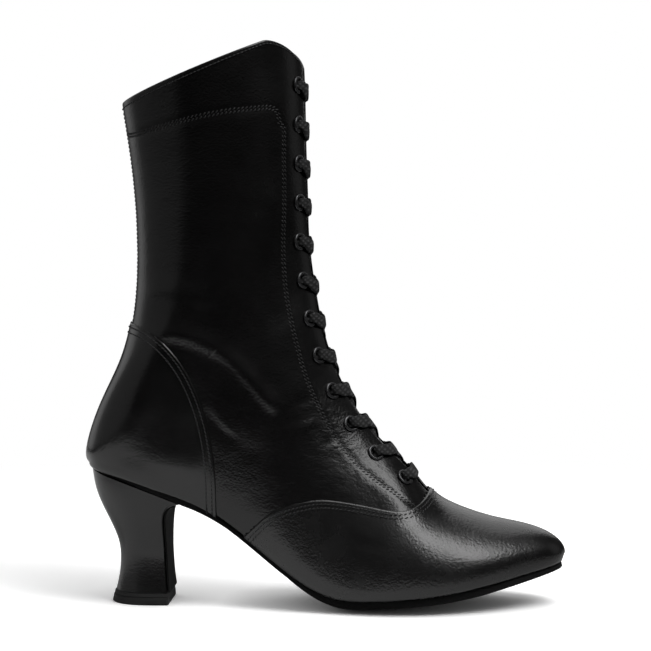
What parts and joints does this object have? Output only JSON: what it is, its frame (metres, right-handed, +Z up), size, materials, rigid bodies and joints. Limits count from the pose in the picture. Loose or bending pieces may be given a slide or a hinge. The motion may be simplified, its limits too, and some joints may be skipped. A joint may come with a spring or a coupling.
{
  "type": "dance boot",
  "caption": "Black leather lace-up dance boot for the right foot: hollow upper open at the collar, winged vamp, flared heel and a thin flexible sole.",
  "frame": {"origin": "middle of the bounding box on the floor under the heel tip and the ball of the sole", "axes": "+X from heel to toe, +Z up the leg, -Y the outer (lateral) side of the right foot"},
  "size_m": [0.2421, 0.0854, 0.2835],
  "materials": {
    "upper_leather": "smooth semi-gloss black leather",
    "vamp_leather": "smooth semi-gloss black leather",
    "counter_leather": "smooth semi-gloss black leather",
    "tongue_leather": "soft black leather",
    "sole_suede": "matte dark suede",
    "insole_leather": "plain brown leather",
    "heel_leather": "smooth black leather cover",
    "breast_suede": "matte dark suede",
    "lift_rubber": "matte black rubber",
    "eyelet_metal": "black enamelled metal",
    "lace_cotton": "flat woven black cotton"
  },
  "bodies": {
    "root": {"upper": "upper_leather", "vamp": "vamp_leather", "heel_counter": "counter_leather", "tongue": "tongue_leather", "outsole": "sole_suede", "insole": "insole_leather", "heel": "heel_leather", "heel_breast_cover": "breast_suede", "top_lift": "lift_rubber", "eyelet_outer_01": "eyelet_metal", "eyelet_outer_02": "eyelet_metal", "eyelet_outer_03": "eyelet_metal", "eyelet_outer_04": "eyelet_metal", "eyelet_outer_05": "eyelet_metal", "eyelet_outer_06": "eyelet_metal", "eyelet_outer_07": "eyelet_metal", "eyelet_outer_08": "eyelet_metal", "eyelet_outer_09": "eyelet_metal", "eyelet_outer_10": "eyelet_metal", "eyelet_outer_11": "eyelet_metal", "eyelet_outer_12": "eyelet_metal", "eyelet_inner_01": "eyelet_metal", "eyelet_inner_02": "eyelet_metal", "eyelet_inner_03": "eyelet_metal", "eyelet_inner_04": "eyelet_metal", "eyelet_inner_05": "eyelet_metal", "eyelet_inner_06": "eyelet_metal", "eyelet_inner_07": "eyelet_metal", "eyelet_inner_08": "eyelet_metal", "eyelet_inner_09": "eyelet_metal", "eyelet_inner_10": "eyelet_metal", "eyelet_inner_11": "eyelet_metal", "eyelet_inner_12": "eyelet_metal", "lace_cross_01": "lace_cotton", "lace_cross_02": "lace_cotton", "lace_cross_03": "lace_cotton", "lace_cross_04": "lace_cotton", "lace_cross_05": "lace_cotton", "lace_cross_06": "lace_cotton", "lace_cross_07": "lace_cotton", "lace_cross_08": "lace_cotton", "lace_cross_09": "lace_cotton", "lace_cross_10": "lace_cotton", "lace_cross_11": "lace_cotton", "lace_bar": "lace_cotton"}
  },
  "joints": []
}
